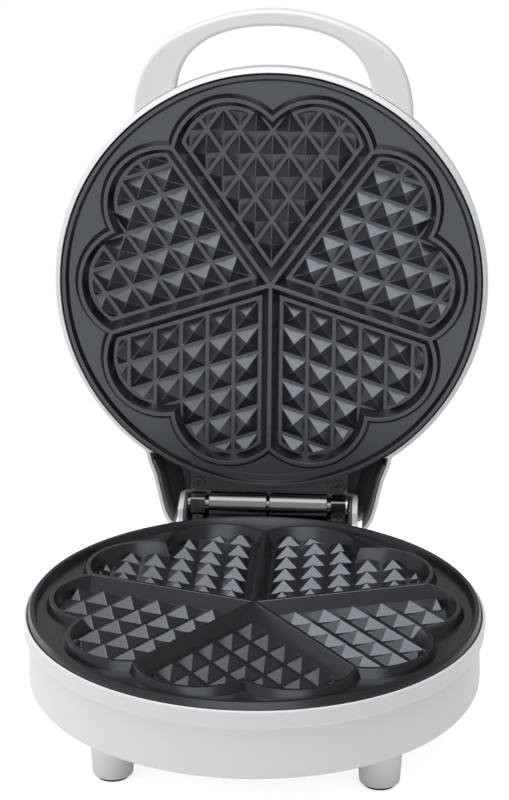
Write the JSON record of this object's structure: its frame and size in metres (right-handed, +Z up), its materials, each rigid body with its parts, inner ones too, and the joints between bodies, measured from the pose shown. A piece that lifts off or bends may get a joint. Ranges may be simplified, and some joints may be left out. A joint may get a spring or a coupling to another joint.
{
  "type": "electric heart waffle iron",
  "caption": "Round countertop waffle iron with heart-shaped baking plates, standing open on its rear hinge, with a loop handle on the lid.",
  "frame": {"origin": "on the surface the feet stand on, under the middle of the whole open iron; the axis of the lower plate is 29.45 mm in front of it", "axes": "+Z up, -Y towards the user and the handle side, +Y towards the hinge, +X to the user's right, along the hinge"},
  "size_m": [0.2018, 0.2618, 0.2899],
  "materials": {
    "white_plastic": "smooth satin-gloss moulded plastic",
    "handle_plastic": "light grey-white satin plastic",
    "black_plastic": "matte heat-resistant black plastic",
    "rubber_foot": "matte",
    "cast_plate": "cast, grey non-stick coating, satin",
    "shield_sheet": "bright rolled sheet",
    "element_tube": "oxidised steel tube",
    "steel": "bright steel",
    "chromed_steel": "polished",
    "dark_screw": "black oxide",
    "ceramic": "glazed ceramic and phenolic",
    "lead_sleeve": "glass-fibre sleeving",
    "red_lens": "translucent red",
    "green_lens": "translucent green",
    "lamp_glass": "clear"
  },
  "bodies": {
    "base": {"base_shell": "white_plastic", "foot_pads": "rubber_foot", "lower_plate": "cast_plate", "lower_heating_element": "element_tube", "lower_element_clamps": "steel", "lower_clamp_screws": "steel", "lower_heat_shield": "shield_sheet", "lower_plate_screws": "steel", "thermostat": "ceramic", "thermal_fuse": "ceramic", "terminal_block": "ceramic", "base_leads": "lead_sleeve", "cord_gland": "black_plastic", "base_hinge_housing": "black_plastic", "base_hinge_leaf": "chromed_steel", "base_hinge_screws": "dark_screw", "hinge_pin": "chromed_steel", "pin_clip": "steel"},
    "lid": {"lid_shell": "white_plastic", "lid_hinge_liner": "black_plastic", "lid_hinge_leaf": "chromed_steel", "upper_plate": "cast_plate", "upper_heating_element": "element_tube", "upper_element_clamps": "steel", "upper_clamp_screws": "steel", "upper_heat_shield": "shield_sheet", "upper_plate_studs": "steel", "upper_tab_screws": "dark_screw", "upper_tab_nuts": "steel", "lid_leads": "lead_sleeve", "indicator_lens_red": "red_lens", "indicator_lens_green": "green_lens", "indicator_lamps": "lamp_glass", "handle_grip": "handle_plastic", "handle_cover": "handle_plastic", "handle_screws": "steel"}
  },
  "joints": [
    {"name": "lid_hinge", "type": "hinge", "parent": "base", "child": "lid", "pos_m": [0, 0.07705, 0.0583], "axis": [1, 0, 0], "range_deg": [0, 96]}
  ]
}
